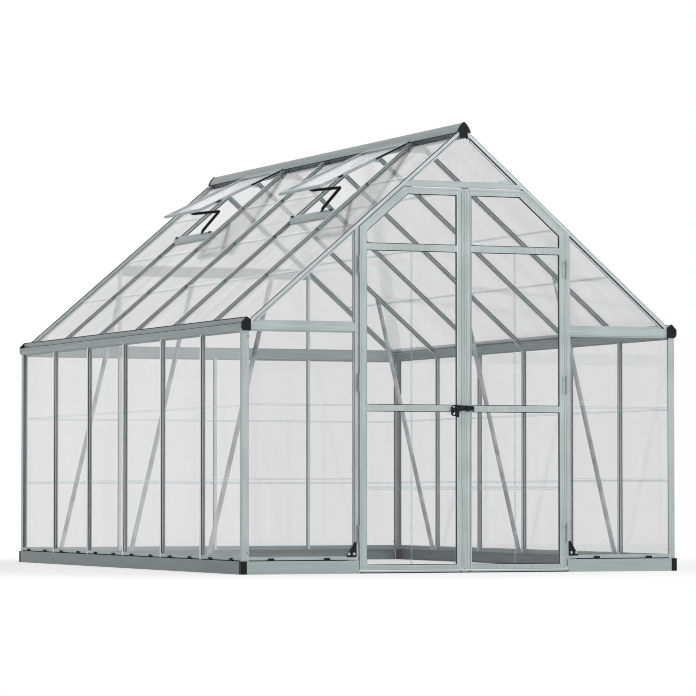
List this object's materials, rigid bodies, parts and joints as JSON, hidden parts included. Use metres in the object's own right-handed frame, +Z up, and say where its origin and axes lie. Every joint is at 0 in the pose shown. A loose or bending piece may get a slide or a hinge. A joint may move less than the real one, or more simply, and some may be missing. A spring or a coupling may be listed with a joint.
{
  "type": "polycarbonate greenhouse",
  "caption": "Walk-in garden greenhouse with an aluminium frame, clear sheets, a pitched roof with propped roof vents and a pair of hinged doors in the front gable.",
  "frame": {"origin": "centre of the footprint at ground level", "axes": "+Z up, +Y along the ridge towards the rear gable, +X to the right seen from the doors"},
  "size_m": [2.464, 3.705, 2.3295],
  "materials": {
    "aluminium": "mill finish, satin",
    "base_steel": "galvanised, dull",
    "black_plastic": "moulded, fine texture",
    "clear_sheet": "clear twin sheet, glossy",
    "clear_strip": "clear extrusion, glossy"
  },
  "bodies": {
    "root": {"base_corners": "black_plastic", "base_front": "base_steel", "base_left": "base_steel", "base_rear": "base_steel", "base_right": "base_steel", "collar_bar": "aluminium", "corner_posts": "aluminium", "door_header": "aluminium", "door_post_gussets": "black_plastic", "door_posts": "aluminium", "door_threshold": "aluminium", "front_eave_rails": "aluminium", "front_panels": "clear_sheet", "front_rafters": "aluminium", "gutter_caps": "black_plastic", "left_gutter": "aluminium", "left_roof_panels": "clear_sheet", "left_wall_panels": "clear_sheet", "post_hinges": "aluminium", "rear_eave_rail": "aluminium", "rear_mullions": "aluminium", "rear_panels": "clear_sheet", "rear_rafters": "aluminium", "ridge_beam": "aluminium", "ridge_caps": "black_plastic", "ridge_plates": "aluminium", "right_gutter": "aluminium", "right_roof_panels": "clear_sheet", "right_wall_panels": "clear_sheet", "roof_rafters": "aluminium", "roof_strips": "clear_strip", "roof_struts": "aluminium", "side_mullions": "aluminium", "sill_rails": "aluminium", "vent_frames": "aluminium", "vent_panels": "clear_sheet", "vent_sills": "aluminium", "vent_stays": "black_plastic", "wall_strips": "clear_strip"},
    "left_door": {"left_door_frame": "aluminium", "left_door_panels": "clear_sheet", "left_door_strips": "clear_strip", "left_door_hinges": "aluminium", "door_latch": "black_plastic"},
    "right_door": {"right_door_frame": "aluminium", "right_door_panels": "clear_sheet", "right_door_strips": "clear_strip", "right_door_hinges": "aluminium", "door_catch": "black_plastic"}
  },
  "joints": [
    {"name": "left_door_hinge", "type": "hinge", "parent": "root", "child": "left_door", "pos_m": [-0.5865, -1.848, 0], "axis": [0, 0, -1], "range_deg": [0, 110]},
    {"name": "right_door_hinge", "type": "hinge", "parent": "root", "child": "right_door", "pos_m": [0.5865, -1.848, 0], "axis": [0, 0, 1], "range_deg": [0, 110]}
  ]
}
